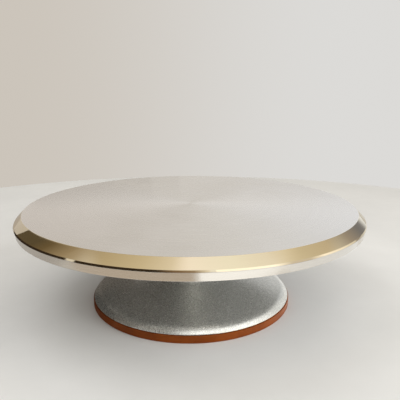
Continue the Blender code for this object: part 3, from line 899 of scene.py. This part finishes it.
def build_bearing(prefix, height, steel, cage_steel, ball_steel):
    for label, outline in (("outer", outer_ring_outline()), ("inner", inner_ring_outline())):
        ring = moved(turned(outline, SMALL_SEGMENTS), z=height)
        build_piece(f"{prefix}_bearing_{label}_ring", "ground", ring, steel)
    for label, side in (("top", 1), ("bottom", -1)):
        shield = moved(turned(shield_outline(side), SMALL_SEGMENTS), z=height)
        build_piece(f"{prefix}_bearing_{label}_shield", "pressed", shield, cage_steel)
    half = CAGE_HEIGHT / 2
    cage = washer(CAGE_INNER_R, CAGE_OUTER_R, height - half, height + half, 0.25)
    pockets = moved(around(pocket, BALL_COUNT, BALL_CIRCLE_R), z=height)
    build_piece(f"{prefix}_bearing_cage", "pressed", cage, cage_steel, [pockets])
    for index in range(BALL_COUNT):
        node = f"{prefix}_ball_{index + 1}"
        build_piece(node, "polished", ball_bmesh(node), ball_steel)


def lug_edge(first, last):
    """The chamfered inner edge of a lug: (radius, angle) points from its higher angle down."""
    chamfer_r = CLIP_LUG_R + CLIP_LUG_CHAMFER
    inner = [(CLIP_LUG_R, first - CLIP_LUG_CHAMFER_ANGLE), (CLIP_LUG_R, last + CLIP_LUG_CHAMFER_ANGLE)]
    return [(chamfer_r, first), *inner, (chamfer_r, last)]


def clip_bmesh(bottom):
    """A C-shaped retaining ring with a lug at each end."""
    start = CLIP_GAP / 2
    end = math.tau - start
    lug_end = start + CLIP_LUG
    lug_start = end - CLIP_LUG
    shares = [step / CLIP_STEPS for step in range(CLIP_STEPS + 1)]
    polar = [(CLIP_OUTER_R, start + (end - start) * share) for share in shares]
    polar += lug_edge(end, lug_start)
    polar += [(CLIP_INNER_R, lug_start + (lug_end - lug_start) * share) for share in shares]
    polar += lug_edge(lug_end, start)
    bm = bmesh.new()
    corners = [(r * math.cos(angle), r * math.sin(angle), bottom) for r, angle in polar]
    face = bm.faces.new([bm.verts.new(corner) for corner in corners])
    extruded = bmesh.ops.extrude_face_region(bm, geom=[face], use_keep_orig=True)
    top = [item for item in extruded["geom"] if isinstance(item, bmesh.types.BMVert)]
    bmesh.ops.translate(bm, vec=(0, 0, CLIP_THICKNESS), verts=top)
    return bm


def lug_hole(side, bottom):
    hole = prism(TINY_SEGMENTS, 2 * CLIP_HOLE_R, bottom - PAST, bottom + CLIP_THICKNESS + PAST)
    angle = side * (CLIP_GAP / 2 + CLIP_LUG / 2)
    return moved_out(hole, (CLIP_LUG_R + CLIP_OUTER_R) / 2, angle)


def cap_outline():
    lip_outer = SEAT_R - GAP
    lip_inner = lip_outer - CAP_LIP_THICKNESS
    disc_top = COLUMN_BOTTOM_Z - GAP
    disc_bottom, lip_top = heights("dust_cap")
    corners = [
        (0.0, disc_bottom + CAP_RECESS),
        (CAP_RECESS_R, disc_bottom + CAP_RECESS, CAP_ROUNDING),
        (CAP_RECESS_MOUTH_R, disc_bottom, 0.2),
        (CAP_R, disc_bottom, EDGE),
        (CAP_R, disc_top, 0.2),
        (lip_outer, disc_top),
        (lip_outer, lip_top, CAP_ROUNDING),
        (lip_inner, lip_top, CAP_ROUNDING),
        (lip_inner, disc_top, CAP_ROUNDING),
        (0.0, disc_top),
    ]
    return rounded(corners)


def build_covers(spring, felt, plastic):
    for prefix in ("upper", "lower"):
        node = f"{prefix}_retaining_ring"
        bottom = low(node, 2)
        holes = [lug_hole(side, bottom) for side in (1, -1)]
        build_piece(node, "stamped", clip_bmesh(bottom), spring, holes)
    seal = washer(COLLAR_R + GAP, SEAT_R - GAP, *heights("dust_seal"), 0.35)
    build_piece("dust_seal", "felt", seal, felt)
    build_piece("dust_cap", "moulded", turned(cap_outline(), SMALL_SEGMENTS), plastic)


# Stage, light and camera


def ramp(tree, value, stops):
    """A colour along a number from 0 to 1, by stops of position, red, green and blue."""
    node = add(tree, "ShaderNodeValToRGB", {0: value})
    elements = node.color_ramp.elements
    for element, (position, *colour) in zip(elements, (stops[0], stops[-1])):
        element.position, element.color = position, (*colour, 1.0)
    for position, *colour in stops[1:-1]:
        elements.new(position).color = (*colour, 1.0)
    return node.outputs[0]


# Directions are in degrees from straight in front of the turntable, with plus to the right.
# Elevations are in degrees too.
# The room's light at three elevations: direction, red, green and blue
LOW_LIGHT = [
    (-180, 0.73, 0.70, 0.66),
    (-160, 0.62, 0.57, 0.52),
    (-134, 0.54, 0.50, 0.46),
    (-96, 0.62, 0.58, 0.53),
    (-60, 0.78, 0.76, 0.73),
    (-20, 0.76, 0.73, 0.69),
    (0, 0.82, 0.80, 0.77),
    (9, 0.86, 0.86, 0.85),
    (60, 0.88, 0.88, 0.87),
    (94, 1.0, 0.98, 0.94),
    (104, 0.75, 0.72, 0.67),
    (113, 0.54, 0.505, 0.45),
    (122, 0.34, 0.30, 0.27),
    (134, 0.19, 0.19, 0.21),
    (139, 0.22, 0.22, 0.24),
    (146, 0.86, 0.88, 0.91),
    (165, 0.75, 0.74, 0.73),
    (180, 0.73, 0.70, 0.66),
]
MID_LIGHT = [
    (-180, 0.68, 0.64, 0.58),
    (-155, 0.60, 0.55, 0.49),
    (-126, 0.48, 0.42, 0.34),
    (-98, 0.34, 0.28, 0.19),
    (-92, 0.38, 0.31, 0.22),
    (-80, 0.66, 0.61, 0.54),
    (-30, 0.74, 0.69, 0.62),
    (-4, 0.90, 0.87, 0.82),
    (7, 1.1, 1.1, 1.07),
    (46, 1.1, 1.1, 1.05),
    (56, 1.0, 0.97, 0.90),
    (66, 0.95, 0.89, 0.79),
    (80, 0.72, 0.65, 0.52),
    (94, 0.62, 0.55, 0.42),
    (108, 0.57, 0.49, 0.37),
    (122, 0.34, 0.30, 0.26),
    (136, 0.24, 0.24, 0.26),
    (148, 0.82, 0.82, 0.80),
    (180, 0.68, 0.64, 0.58),
]
HIGH_LIGHT = [
    (-180, 0.50, 0.46, 0.40),
    (-112, 0.25, 0.20, 0.13),
    (-94, 0.36, 0.29, 0.20),
    (-75, 0.50, 0.42, 0.29),
    (-48, 0.62, 0.54, 0.40),
    (-20, 0.76, 0.69, 0.58),
    (-8, 0.92, 0.86, 0.81),
    (0, 0.98, 0.93, 0.90),
    (45, 0.93, 0.92, 0.86),
    (72, 0.86, 0.82, 0.76),
    (93, 0.72, 0.635, 0.485),
    (110, 0.64, 0.575, 0.465),
    (180, 0.50, 0.46, 0.40),
]
# Elevations between which one list fades into the next
MID_FADE = (24, 33)
HIGH_FADE = (43, 52)


def azimuth(tree, x, y):
    """The direction of a point, in radians from straight in front."""
    return calculate(tree, "ARCTAN2", x, calculate(tree, "MULTIPLY", y, -1.0))


def build_world():
    """Light from all round, blended from the three lists by elevation."""
    world = bpy.data.worlds.new("studio")
    bpy.context.scene.world = world
    world.use_nodes = True
    tree = world.node_tree
    background = tree.nodes["Background"]
    _, x, y, z = coordinates(tree, "Generated")
    turn = ranged(tree, azimuth(tree, x, y), -math.pi, math.pi)
    elevation = calculate(tree, "ARCSINE", z)
    lows, mids, highs = (
        ramp(tree, turn, [((a + 180) / 360, *colour) for a, *colour in stops])
        for stops in (LOW_LIGHT, MID_LIGHT, HIGH_LIGHT)
    )
    up, higher = (
        ranged(tree, elevation, math.radians(start), math.radians(end), smooth=True)
        for start, end in (MID_FADE, HIGH_FADE)
    )
    colour = mixed(tree, higher, mixed(tree, up, lows, mids), highs)
    tree.links.new(colour, background.inputs["Color"])


FLOOR_R = 3000
FLOOR_SEGMENTS = 96
WALL_R = 720
WALL_TOP_Z = 2500
WALL_SEGMENTS = 96
WALL_LIFT = 0.2
COVE_R = 60
COVE_STEPS = 8
RAYS = ("camera", "diffuse", "glossy", "transmission", "volume_scatter", "shadow")

# Cards are glowing panels that show only in reflections: painted reflections of the bright and dark parts
# of a room, that is painted light and painted shade.
# The standing ones are on circles of these radii round the turntable.
CARD_R = 420
NEAR_CARD_R = 200
RIM_CARD_R = 157
SHINE_CARD_R = 125
SHADE_CARD_R = 114
CARD_STEPS = 24
CARD_Z = 0.4
CARD_FOOT = 0.5
UNDER_PLATE_Z = 74.5

# Light of each card that has one colour: its colour and strength
WHITE = (1.0, 0.99, 0.96)
GLOW = {
    "sunlit_floor": ((0.98, 1.0, 1.0), 1.38),
    "bright_floor": ((0.98, 1.0, 1.0), 1.0),
    "warm_floor": ((0.60, 0.52, 0.43), 1.0),
    "dim_floor": ((0.50, 0.48, 0.45), 1.0),
    "lit_floor": ((1.0, 0.92, 0.80), 1.7),
    "dark_screen": ((0.08, 0.068, 0.055), 1.0),
    "darkest_screen": ((0.03, 0.02, 0.012), 1.0),
    "dim_low_screen": ((0.43, 0.385, 0.34), 1.0),
    "dim_edge": ((0.50, 0.47, 0.43), 1.0),
    "dim_screen": ((0.30, 0.27, 0.24), 1.0),
    "shaded_collar": ((0.13, 0.11, 0.092), 1.0),
    "darker_collar": ((0.03, 0.028, 0.025), 1.0),
    "middle_collar": (WHITE, 1.35),
    "side_collar": (WHITE, 0.95),
    "back_collar": (WHITE, 1.15),
    "shaded_underside": ((0.17, 0.17, 0.16), 1.0),
}

# Light of the cards that change along their length: direction, red, green and blue
FRONT_STRIP = [
    (-40, 0.03, 0.02, 0.012),
    (-10, 0.03, 0.02, 0.012),
    (-4, 0.20, 0.13, 0.08),
    (2, 0.32, 0.24, 0.165),
    (7, 0.85, 0.80, 0.72),
]
OLIVE_SCREEN = [
    (-64.3, 0.10, 0.077, 0.045),
    (-52, 0.10, 0.077, 0.045),
    (-46, 0.145, 0.105, 0.055),
    (-36, 0.34, 0.27, 0.18),
]
LIT_STRIP = [
    (9, 1.25, 1.22, 1.16),
    (29, 1.30, 1.28, 1.24),
    (36, 0.66, 0.60, 0.54),
    (44, 0.64, 0.59, 0.52),
    (51, 1.12, 1.07, 1.0),
    (62, 0.98, 0.93, 0.85),
    (75, 0.66, 0.62, 0.56),
]
BACK_COLLAR = [
    (-136, 0.125, 0.105, 0.09),
    (-124, 0.10, 0.085, 0.07),
    (-114, 0.035, 0.033, 0.03),
    (-98, 0.035, 0.033, 0.03),
]
FRONT_COLLAR = [
    (1, 1.85, 1.83, 1.78),
    (46, 1.82, 1.80, 1.75),
    (57, 1.42, 1.40, 1.36),
    (67, 1.5, 1.48, 1.44),
]

# Cards flat on the floor: name, glow and (x, y) corners
FLAT_CARDS = [
    ("sunlit_card", "sunlit_floor", [(18, -525), (518, -525), (518, -185), (165, -185), (18, -205)]),
    ("bright_card", "bright_floor", [(165, -185), (518, -185), (518, 60), (228, 60), (150, -150)]),
    ("warm_card", "warm_floor", [(-210, -330), (10, -330), (10, -190), (-60, -190), (-210, -140)]),
    (
        "dim_card",
        "dim_floor",
        [(-420, -330), (-210, -330), (-210, -140), (-180, 120), (-100, 420), (-420, 420)],
    ),
]

# Standing cards of one colour: name, glow, directions, heights of the two edges and radius.
# A pair in place of a height is an edge that slopes from the card's start to its end.
ROUND_CARDS = [
    ("dark_flag_left", "dark_screen", (-118, -60), (CARD_FOOT, 105), CARD_R),
    ("dark_strip_side", "darkest_screen", (-88, -76), (66, 92), NEAR_CARD_R),
    ("dark_strip_left", "darkest_screen", (-76, -44), (70, (92, 105)), NEAR_CARD_R),
    ("dim_low_back", "dim_low_screen", (-146, -118), (CARD_FOOT, 92), CARD_R),
    ("dim_flag_edge", "dim_edge", (-176, -169), (95, 140), CARD_R),
    ("dim_flag_back", "dim_screen", (-169, -140), (95, 140), CARD_R),
    ("shaded_collar_back", "shaded_collar", (-176, -98), (CARD_FOOT, 42), SHADE_CARD_R),
    ("dark_collar_left", "darker_collar", (-98, -58), (CARD_FOOT, 48), SHADE_CARD_R),
    ("shaded_collar_left", "shaded_collar", (-58, -36), (CARD_FOOT, 40), SHADE_CARD_R),
    ("bright_collar_middle", "middle_collar", (-8, 1), (CARD_FOOT, 66), SHINE_CARD_R),
    ("bright_collar_right", "side_collar", (67, 100), (CARD_FOOT, 60), SHINE_CARD_R),
    ("bright_collar_back", "back_collar", (100, 135), (CARD_FOOT, 26), SHINE_CARD_R),
]

# Standing cards that change along their length: name, light, heights of the two edges and radius
GRADED_CARDS = [
    ("dark_strip_front", FRONT_STRIP, (72, 111), NEAR_CARD_R),
    ("olive_screen", OLIVE_SCREEN, (85.6, (98.5, 111.5)), RIM_CARD_R),
    ("lit_strip_front", LIT_STRIP, ((84, 79), (112, 96)), NEAR_CARD_R),
    ("dark_collar_back", BACK_COLLAR, (42, 75), SHADE_CARD_R),
    ("bright_collar_front", FRONT_COLLAR, (CARD_FOOT, 74), SHINE_CARD_R),
]

# Parts of flat rings: name, glow, directions, radii and height
# The dark floor rings are painted shadow round the foot, the shaded underside ring is painted shade under
# the platter, and the lit ring is a painted pool of light; all show only in reflections.
RING_CARDS = [
    ("dark_floor_left", "dark_screen", (-178, -48), (92, 195), CARD_Z),
    ("dark_floor_back", "dark_screen", (-168, -126), (195, 345), CARD_Z),
    ("shaded_underside_right", "shaded_underside", (30, 155), (38, 146), UNDER_PLATE_Z),
    ("lit_floor_right", "lit_floor", (15, 95), (92, 112), CARD_Z),
]


def glow_material(name, colour, strength=1.0):
    """A material that only gives light."""
    material = bpy.data.materials.new(name)
    material.use_nodes = True
    tree = material.node_tree
    tree.nodes.remove(tree.nodes["Principled BSDF"])
    shine = add(tree, "ShaderNodeEmission", {"Color": colour, "Strength": strength})
    tree.links.new(shine.outputs[0], tree.nodes["Material Output"].inputs["Surface"])
    return material


def glow_from(material, socket):
    """Takes the colour of a light-giving material from a socket."""
    tree = material.node_tree
    tree.links.new(socket, tree.nodes["Emission"].inputs["Color"])


def graded_glow(name, stops):
    """A card's light that changes along it, from its first stop to its last."""
    material = glow_material(name, (1.0, 1.0, 1.0))
    tree = material.node_tree
    start, end = stops[0][0], stops[-1][0]
    _, x, y, _ = coordinates(tree)
    along = ranged(tree, azimuth(tree, x, y), math.radians(start), math.radians(end))
    shares = [((a - start) / (end - start), *colour) for a, *colour in stops]
    glow_from(material, ramp(tree, along, shares))
    return material


def stage_object(name, bm, material, only=None):
    """A piece of the stage. It may be hidden from all but one kind of ray."""
    obj = mesh_object(name, bm)
    obj.data.materials.append(material)
    for ray in RAYS if only else ():
        setattr(obj, "visible_" + ray, ray == only)
    return obj


def swept_card(name, material, directions, edges):
    """A card round part of the turntable, between two directions.

    Each of its two edges is a radius and a height, or a pair of heights to slope between.
    """
    start, end = directions
    bm = bmesh.new()
    lines = []
    for radius, height in edges:
        start_z, end_z = height if isinstance(height, tuple) else (height, height)
        line = []
        for step in range(CARD_STEPS + 1):
            share = step / CARD_STEPS
            angle = math.radians(start + (end - start) * share)
            z = start_z + (end_z - start_z) * share
            line.append(bm.verts.new((radius * math.sin(angle), -radius * math.cos(angle), z)))
        lines.append(line)
    near, far = lines
    for first, second, far_second, far_first in zip(near, near[1:], far[1:], far):
        bm.faces.new((first, second, far_second, far_first))
    stage_object(name, bm, material, "glossy")


def build_cards():
    glow = {name: glow_material(name, *light) for name, light in GLOW.items()}
    for name, look, corners in FLAT_CARDS:
        bm = bmesh.new()
        bm.faces.new([bm.verts.new((x, y, CARD_Z)) for x, y in corners])
        stage_object(name, bm, glow[look], "glossy")
    for name, look, directions, (bottom, top), radius in ROUND_CARDS:
        swept_card(name, glow[look], directions, [(radius, bottom), (radius, top)])
    for name, stops, (bottom, top), radius in GRADED_CARDS:
        directions = (stops[0][0], stops[-1][0])
        swept_card(name, graded_glow(name, stops), directions, [(radius, bottom), (radius, top)])
    for name, look, directions, (inner_r, outer_r), height in RING_CARDS:
        swept_card(name, glow[look], directions, [(inner_r, height), (outer_r, height)])


def build_floor():
    bm = bmesh.new()
    bmesh.ops.create_circle(bm, cap_ends=True, segments=FLOOR_SEGMENTS, radius=FLOOR_R)
    surface = Surface("floor_surface", 0.0, Specular_IOR_Level=0.0)
    tree = surface.tree
    cloud = noise(tree, surface.point, 5.0, 5.0, 0.6)
    cloudy = ranged(tree, cloud, 0.35, 0.65)
    surface.colour(mixed(tree, cloudy, (0.72, 0.73, 0.735), (0.78, 0.79, 0.795)))
    surface.roughness(ranged(tree, cloud, 0.3, 0.7, 0.42, 0.5))
    stage_object("floor", bm, surface.material)


def wall_bmesh():
    """A round wall with a cove at its foot."""
    profile = [(WALL_R, WALL_TOP_Z)]
    for step in range(COVE_STEPS + 1):
        angle = math.pi / 2 * step / COVE_STEPS
        profile.append((WALL_R - COVE_R + COVE_R * math.cos(angle), COVE_R - COVE_R * math.sin(angle)))
    bm = bmesh.new()
    circles = []
    for r, z in profile:
        circle = []
        for step in range(WALL_SEGMENTS):
            angle = math.tau * step / WALL_SEGMENTS
            circle.append(bm.verts.new((r * math.cos(angle), r * math.sin(angle), z + WALL_LIFT)))
        circles.append(circle)
    for upper, lower in zip(circles, circles[1:]):
        for step in range(WALL_SEGMENTS):
            after = (step + 1) % WALL_SEGMENTS
            bm.faces.new((upper[step], upper[after], lower[after], lower[step]))
    return bm


def build_backdrop():
    """A glowing wall that only the camera sees, darker and warmer to the left: painted shade of a light
    from the right.
    """
    backdrop_glow = glow_material("backdrop_painted_shade", (1.0, 1.0, 1.0))
    tree = backdrop_glow.node_tree
    _, x, _, _ = coordinates(tree)
    side = ranged(tree, x, -0.45, 0.35, smooth=True)
    glow_from(backdrop_glow, mixed(tree, side, (0.60, 0.553, 0.492), (0.715, 0.705, 0.685)))
    stage_object("backdrop", wall_bmesh(), backdrop_glow, "camera").data.shade_smooth()


# Lights: name, place, target, size, energy and colour. Places and sizes are in metres.
LIGHTS = [
    ("key", (1.05, -0.5, 0.62), (0.0, 0.0, 0.05), (0.9, 0.7), 8.0, (1.0, 0.99, 0.97)),
    ("fill", (-0.5, 0.0, 1.0), (-0.4, -0.1, 0.0), (0.6, 0.6), 2.5, (0.96, 0.98, 1.0)),
    ("low", (0.75, -0.55, 0.16), (0.0, 0.0, 0.02), (0.5, 0.25), 2.4, (1.0, 0.97, 0.92)),
]
# Camera: its place in metres and how many degrees it looks down
CAMERA_PLACE = (0.008233, -0.418283, 0.187204)
CAMERA_DIP = 12.7229
SENSOR_WIDTH = 36.0
LENS = 42.294


def area_light(name, place, target, size, energy, colour):
    """A soft light that doesn't show in reflections."""
    data = bpy.data.lights.new(name, "AREA")
    data.shape = "RECTANGLE"
    data.size, data.size_y = size
    data.energy = energy
    data.color = colour
    light = bpy.data.objects.new(name, data)
    bpy.context.scene.collection.objects.link(light)
    light.location = place
    light.visible_glossy = False
    light.rotation_euler = (Vector(target) - light.location).to_track_quat("-Z", "Y").to_euler()


def build_lights():
    for light in LIGHTS:
        area_light(*light)


def build_camera():
    data = bpy.data.cameras.new("camera")
    data.sensor_width = SENSOR_WIDTH
    data.lens = LENS
    camera = bpy.data.objects.new("camera", data)
    camera.location = CAMERA_PLACE
    camera.rotation_euler = (math.radians(90 - CAMERA_DIP), 0, 0)
    bpy.context.scene.collection.objects.link(camera)
    bpy.context.scene.camera = camera


# Materials, from a dark colour, a light colour and a roughness
ALUMINIUM_DARK = (0.825, 0.81, 0.785)
ALUMINIUM_LIGHT = (0.93, 0.915, 0.89)
# The gold tint of the polished bevel and land is in part painted reflection: the warm room light they
# mirror, put into their colour.
GOLD_AND_REFLECTION_DARK = (0.855, 0.755, 0.55)
GOLD_AND_REFLECTION_LIGHT = (0.935, 0.835, 0.625)

top_edges = [(BEVEL_TOP_R, HEIGHT, 0.7)]
brushed = turned_metal(
    "brushed_top", ALUMINIUM_DARK, ALUMINIUM_LIGHT, 0.27, 0.75, 2600.0, top_edges, bump=0.0000002
)
bevel_edges = [(BEVEL_TOP_R, HEIGHT, 0.5), (PLATTER_R, HEIGHT - BEVEL, 0.5)]
polished = turned_metal(
    "polished_bevel", GOLD_AND_REFLECTION_DARK, GOLD_AND_REFLECTION_LIGHT, 0.09, 0.4, 3200.0, bevel_edges, bump=0.000001
)
band_edges = [(BAND_BOTTOM_R, RIM_BOTTOM_Z, 0.9)]
# The band is darker and warmer than the top: painted shade and painted warm reflection of the floor in
# front of it.
band = turned_metal("brushed_band_painted_shade", (0.66, 0.61, 0.54), (0.72, 0.67, 0.60), 0.2, 0.6, 2600.0, band_edges)
# The underside is darker than the top: painted shade of the space under the platter.
underside = turned_metal("machined_underside_painted_shade", (0.50, 0.495, 0.48), (0.60, 0.59, 0.575), 0.33, 0.6, 1300.0)
coat = powder_coat("silver_coat")
silicone = rubber("silicone", (0.155, 0.032, 0.001), (0.200, 0.044, 0.0015), 0.5)

steel = turned_metal("spindle_steel", (0.50, 0.50, 0.50), (0.60, 0.60, 0.595), 0.24, 0.5, 2600.0)
bearing_steel = turned_metal("bearing_steel", (0.58, 0.58, 0.59), (0.67, 0.67, 0.675), 0.17, 0.5, 4200.0)
ball_steel = fine_metal("ball_steel", (0.68, 0.68, 0.69), (0.74, 0.74, 0.75), 0.08, bump=0.0000004)
cage_steel = fine_metal("cage_steel", (0.50, 0.49, 0.46), (0.61, 0.60, 0.57), 0.34)
zinc = fine_metal("zinc_plate", (0.54, 0.56, 0.61), (0.68, 0.69, 0.71), 0.3)
spring = fine_metal("spring_steel", (0.075, 0.075, 0.085), (0.13, 0.13, 0.14), 0.42, 0.8, 3000.0)
oxide = fine_metal("black_oxide", (0.04, 0.04, 0.042), (0.075, 0.073, 0.07), 0.4, 0.8, 3000.0)
felt = felt_fibre("felt", (0.15, 0.14, 0.125), (0.25, 0.24, 0.215))
plastic = rubber("cap_plastic", (0.022, 0.022, 0.023), (0.038, 0.038, 0.039), 0.5)

build_main_pieces(brushed, polished, band, underside, coat, silicone)
build_spindle_pieces(steel, oxide, zinc)
build_bearing("upper", UPPER_BEARING_Z, bearing_steel, cage_steel, ball_steel)
build_bearing("lower", LOWER_BEARING_Z, bearing_steel, cage_steel, ball_steel)
build_covers(spring, felt, plastic)
build_floor()
build_cards()
build_backdrop()
build_world()
build_lights()
build_camera()
bpy.context.scene.view_settings.view_transform = "Standard"
